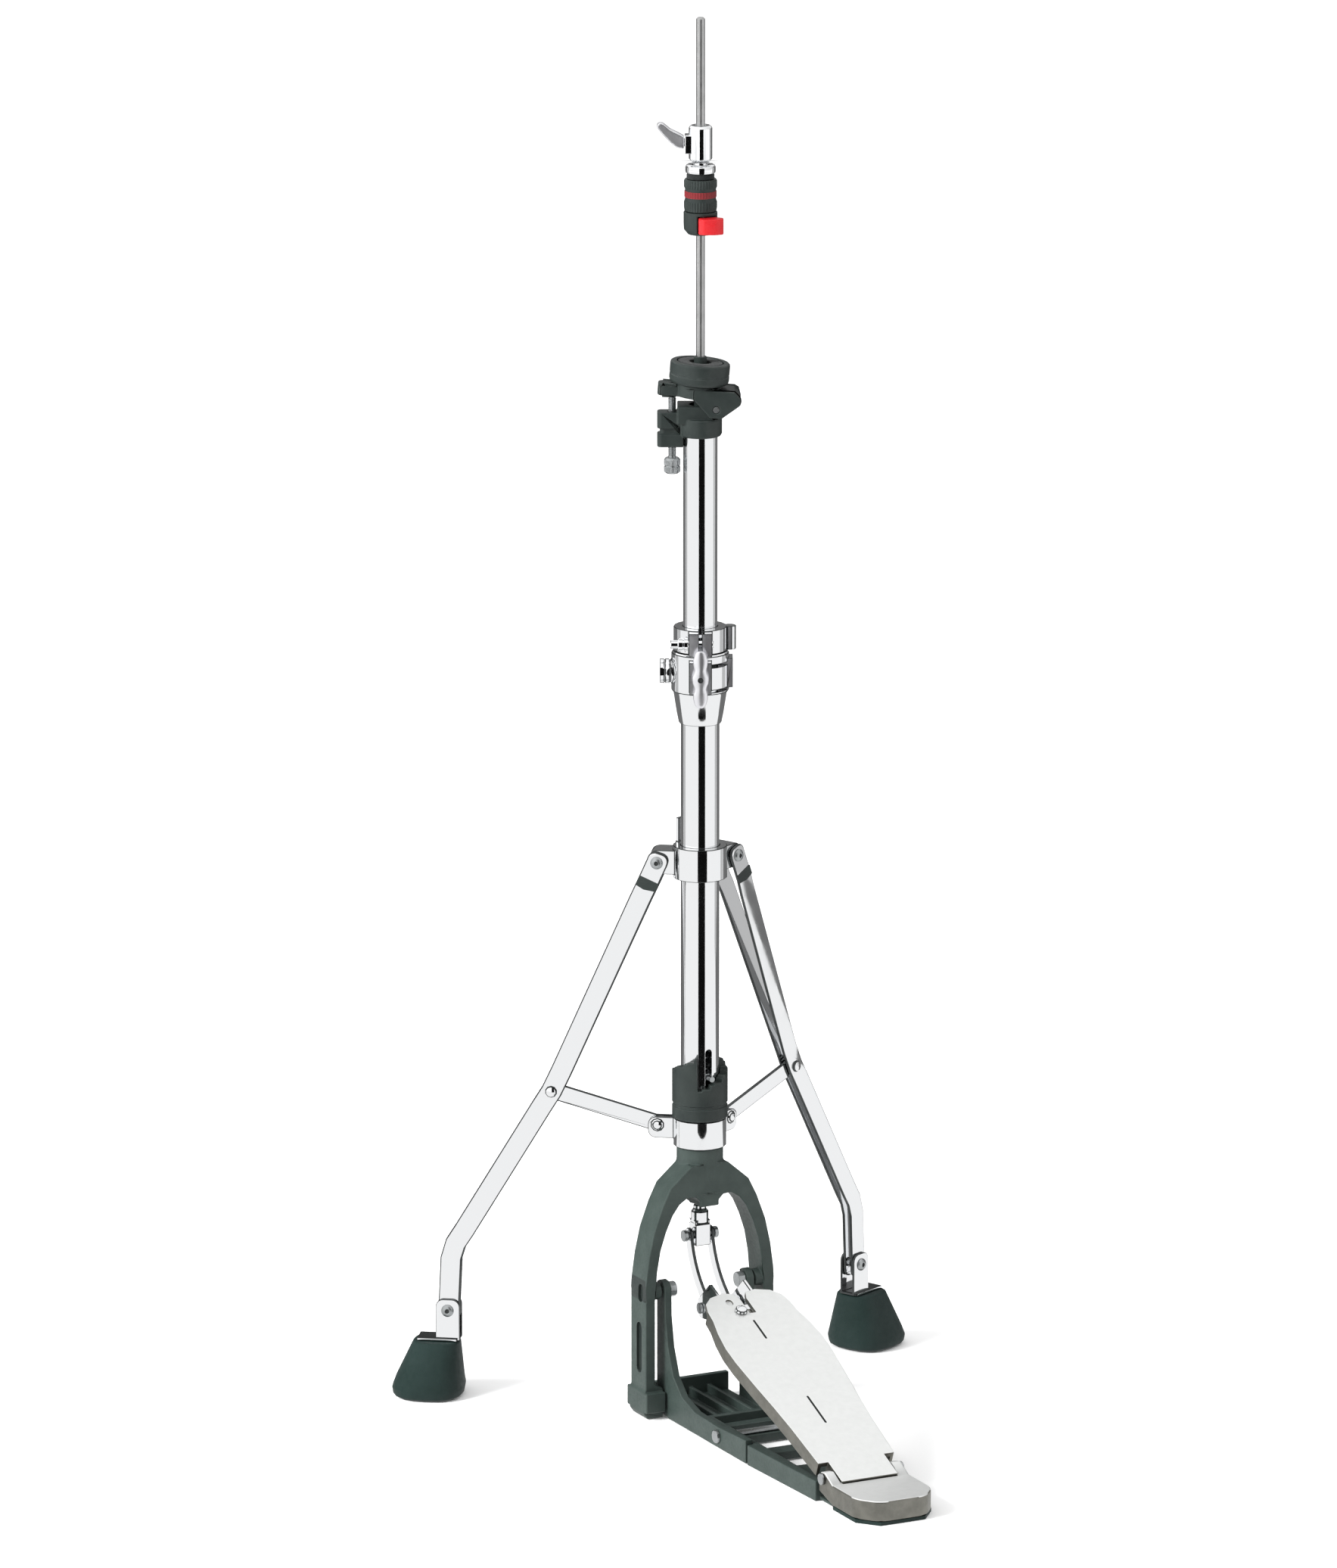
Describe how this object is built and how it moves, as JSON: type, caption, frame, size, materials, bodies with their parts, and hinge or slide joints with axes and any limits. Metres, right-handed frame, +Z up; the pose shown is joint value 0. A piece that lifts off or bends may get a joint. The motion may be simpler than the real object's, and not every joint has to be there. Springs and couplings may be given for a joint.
{
  "type": "hi-hat stand",
  "caption": "Hi-hat stand with folding strap legs: footboard on a heel plate, pull rod in a telescoping column, tilting cymbal seat and quick-release clutch.",
  "frame": {"origin": "on the floor, on the axis of the column tubes, under the rear base casting", "axes": "+Z up the column, -Y from the column towards the heel plate, +X to the player's right-hand side when facing along +Y"},
  "size_m": [0.4298, 0.4936, 1.096],
  "materials": {
    "chrome": "polished",
    "bare_steel": "satin zinc plate",
    "cast_metal": "satin grey-green coating",
    "cast_aluminium": "bead-blasted satin",
    "rubber": "matte",
    "nylon": "moulded",
    "felt": "felt",
    "red_plastic": "gloss"
  },
  "bodies": {
    "stand_frame": {"pedal_frame": "cast_metal", "rod_guide_bushing": "nylon", "rear_base": "cast_metal", "front_base_plate": "cast_metal", "base_pivot_rod": "bare_steel", "frame_knob_left": "bare_steel", "frame_knob_right": "bare_steel", "heel_plate": "cast_aluminium", "heel_rubber_pad": "rubber", "heel_hinge_pin": "bare_steel", "lower_tube": "chrome", "height_clamp": "chrome", "clamp_bushing": "nylon"},
    "pedal": {"footboard": "cast_aluminium", "toe_clevis": "chrome", "toe_pin": "bare_steel"},
    "pull_rod": {"lower_pull_rod": "bare_steel", "upper_pull_rod": "chrome", "rod_fork": "chrome", "fork_pin": "bare_steel", "return_spring": "bare_steel"},
    "link": {"link_strap_left": "chrome", "link_strap_right": "chrome"},
    "clutch": {"clutch_sleeve": "chrome", "clutch_felt": "felt", "quick_release_body": "nylon", "quick_release_housing": "nylon"},
    "clutch_wing": {"clutch_wing_screw": "chrome"},
    "clutch_nut": {"clutch_flange_nut": "chrome"},
    "release": {"release_lever": "red_plastic"},
    "upper_column": {"upper_tube": "chrome", "seat_base": "cast_metal", "rod_guide_sleeve": "nylon", "tilt_hinge_pin": "bare_steel"},
    "memory": {"memory_lock": "chrome"},
    "memory_key": {"memory_key_bolt": "chrome"},
    "height_wing": {"height_wing_bolt": "chrome"},
    "tilt_screw": {"tilt_thumb_screw": "chrome"},
    "seat": {"seat_tilt_plate": "cast_metal", "seat_cup": "nylon", "seat_felt": "felt"},
    "tension_dial": {"tension_sleeve": "nylon"},
    "spring_rest": {"spring_seat": "bare_steel"},
    "leg_swivel": {"leg_collar": "chrome"},
    "leg_spreader": {"leg_hub": "chrome", "hub_rivet_left": "bare_steel", "hub_rivet_right": "bare_steel"},
    "leg_left": {"leg_strap_front_left": "chrome", "leg_strap_rear_left": "chrome", "foot_bracket_left": "chrome", "foot_screw_left": "bare_steel", "rubber_foot_left": "rubber"},
    "leg_right": {"leg_strap_front_right": "chrome", "leg_strap_rear_right": "chrome", "foot_bracket_right": "chrome", "foot_screw_right": "bare_steel", "rubber_foot_right": "rubber"},
    "brace_left": {"leg_brace_left": "chrome"},
    "brace_right": {"leg_brace_right": "chrome"}
  },
  "joints": [
    {"name": "pedal_press", "type": "hinge", "parent": "stand_frame", "child": "pedal", "pos_m": [0, -0.27, 0.02], "axis": [1, 0, 0], "range_deg": [-7.75, 0]},
    {"name": "rod_travel", "type": "slide", "parent": "stand_frame", "child": "pull_rod", "axis": [0, 0, 1], "range_m": [-0.028, 0], "stiffness_N_per_m": 400, "springref_m": 0.05, "deforming": ["return_spring"]},
    {"name": "link_swing", "type": "hinge", "parent": "pull_rod", "child": "link", "pos_m": [0, 0, 0.139], "axis": [1, 0, 0], "range_deg": [0, 8.3]},
    {"name": "clutch_height", "type": "slide", "parent": "pull_rod", "child": "clutch", "axis": [0, 0, 1], "range_m": [0, 0.075]},
    {"name": "clutch_wing_turn", "type": "hinge", "parent": "clutch", "child": "clutch_wing", "pos_m": [0, 0, 1], "axis": [0.8949, -0.4462, 0], "range_deg": [-180, 180]},
    {"name": "clutch_nut_turn", "type": "hinge", "parent": "clutch", "child": "clutch_nut", "pos_m": [0, 0, 0.98], "axis": [0, 0, 1], "range_deg": [-360, 360]},
    {"name": "release_press", "type": "slide", "parent": "clutch", "child": "release", "axis": [0.4462, 0.8949, 0], "range_m": [0, 0.0025], "stiffness_N_per_m": 300, "springref_m": -0.004},
    {"name": "column_height", "type": "slide", "parent": "stand_frame", "child": "upper_column", "axis": [0, 0, 1], "range_m": [0, 0.06]},
    {"name": "memory_height", "type": "slide", "parent": "upper_column", "child": "memory", "axis": [0, 0, 1], "range_m": [0, 0.117]},
    {"name": "memory_key_turn", "type": "hinge", "parent": "memory", "child": "memory_key", "pos_m": [-0.01026, -0.02058, 0.6145], "axis": [0.8949, -0.4462, 0], "range_deg": [-180, 180]},
    {"name": "height_wing_turn", "type": "hinge", "parent": "stand_frame", "child": "height_wing", "pos_m": [0, 0, 0.589], "axis": [-0.4462, -0.8949, 0], "range_deg": [-180, 180]},
    {"name": "tilt_screw_turn", "type": "hinge", "parent": "upper_column", "child": "tilt_screw", "pos_m": [-0.01924, 0.00959, 0.77], "axis": [0, 0, 1], "range_deg": [-722, 722]},
    {"name": "seat_tilt", "type": "hinge", "parent": "upper_column", "child": "seat", "pos_m": [0.01074, -0.00536, 0.796], "axis": [-0.4462, -0.8949, 0], "range_deg": [-4.5, 4.5]},
    {"name": "tension_turn", "type": "hinge", "parent": "stand_frame", "child": "tension_dial", "pos_m": [0, 0, 0.25], "axis": [0, 0, 1], "range_deg": [-110.3, 20.3]},
    {"name": "spring_rest_travel", "type": "slide", "parent": "stand_frame", "child": "spring_rest", "axis": [0, 0, 1], "range_m": [-0.00301, 0.01658]},
    {"name": "leg_swivel_turn", "type": "hinge", "parent": "stand_frame", "child": "leg_swivel", "pos_m": [0, 0, 0.222], "axis": [0, 0, 1], "range_deg": [-45, 45]},
    {"name": "leg_spread", "type": "slide", "parent": "leg_swivel", "child": "leg_spreader", "axis": [0, 0, 1], "range_m": [0, 0.0726]},
    {"name": "leg_fold_left", "type": "hinge", "parent": "leg_spreader", "child": "leg_left", "pos_m": [-0.02615, 0.01845, 0.438], "axis": [-0.5764, -0.8171, 0], "range_deg": [0, 15.2]},
    {"name": "leg_fold_right", "type": "hinge", "parent": "leg_spreader", "child": "leg_right", "pos_m": [0.02905, 0.01342, 0.438], "axis": [-0.4195, 0.9078, 0], "range_deg": [0, 15.2]},
    {"name": "brace_fold_left", "type": "hinge", "parent": "leg_swivel", "child": "brace_left", "pos_m": [-0.02656, 0.01873, 0.227], "axis": [-0.5764, -0.8171, 0], "range_deg": [-53, 0]},
    {"name": "brace_fold_right", "type": "hinge", "parent": "leg_swivel", "child": "brace_right", "pos_m": [0.0295, 0.01363, 0.227], "axis": [-0.4195, 0.9078, 0], "range_deg": [-53, 0]}
  ],
  "couplings": [
    {"joint": "pedal_press", "follows": "rod_travel", "rad_per_m": 4.7985},
    {"joint": "link_swing", "follows": "rod_travel", "rad_per_m": -5.0768},
    {"joint": "tilt_screw_turn", "follows": "seat_tilt", "ratio": -160},
    {"joint": "tension_turn", "follows": "spring_rest_travel", "rad_per_m": -115.81},
    {"joint": "leg_fold_left", "follows": "leg_spread", "rad_per_m": 3.606},
    {"joint": "leg_fold_right", "follows": "leg_spread", "rad_per_m": 3.606},
    {"joint": "brace_fold_left", "follows": "leg_spread", "rad_per_m": -12.645},
    {"joint": "brace_fold_right", "follows": "leg_spread", "rad_per_m": -12.645}
  ]
}
